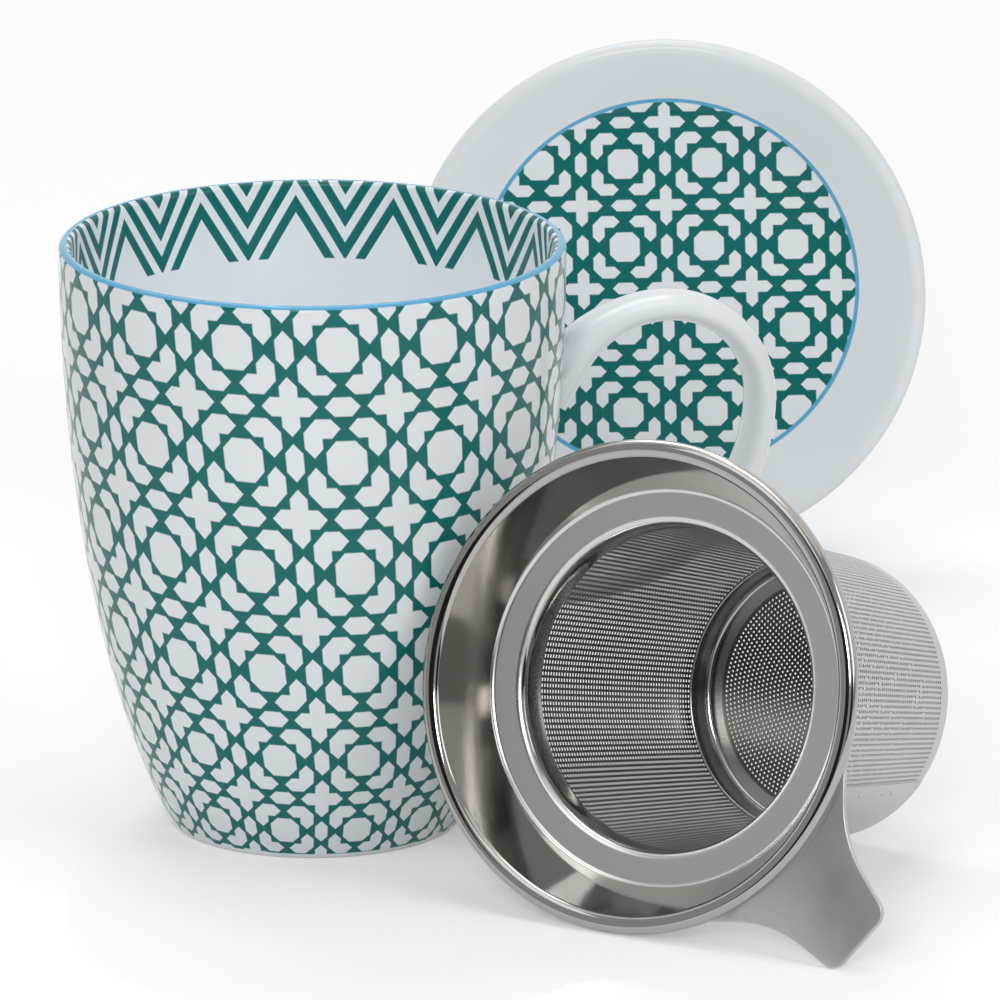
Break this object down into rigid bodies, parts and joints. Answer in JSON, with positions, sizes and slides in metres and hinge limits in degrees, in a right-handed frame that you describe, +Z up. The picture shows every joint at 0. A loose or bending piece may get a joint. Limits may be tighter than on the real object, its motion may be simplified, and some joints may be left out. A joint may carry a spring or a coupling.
{
  "type": "tea mug with infuser",
  "caption": "Tapered porcelain mug with a strap handle, a lift-out steel tea infuser with a perforated basket and finger tab, and a loose dished lid.",
  "frame": {"origin": "middle of the mug's foot, on the table", "axes": "+Z up along the mug's axis, +X to the right on the handle's side, +Y to the back, towards the lid"},
  "size_m": [0.1488, 0.2772, 0.1005],
  "materials": {
    "printed_porcelain": "gloss glaze over a dark teal lattice print on white",
    "white_porcelain": "plain white gloss glaze",
    "polished_steel": "polished",
    "satin_steel": "satin",
    "perforated_steel": "matte, with fine rows of etched holes"
  },
  "bodies": {
    "mug": {"mug_body": "printed_porcelain", "mug_handle": "white_porcelain"},
    "infuser": {"infuser_funnel": "polished_steel", "infuser_tab": "satin_steel", "basket_wall": "perforated_steel", "basket_base": "perforated_steel"},
    "lid": {"lid": "printed_porcelain"}
  },
  "joints": [
    {"name": "infuser_lift", "type": "slide", "parent": "mug", "child": "infuser", "axis": [0, -0.342, 0.9397], "range_m": [0, 0.12]},
    {"name": "lid_lift", "type": "slide", "parent": "mug", "child": "lid", "axis": [0, 0, 1], "range_m": [0, 0.12]}
  ]
}
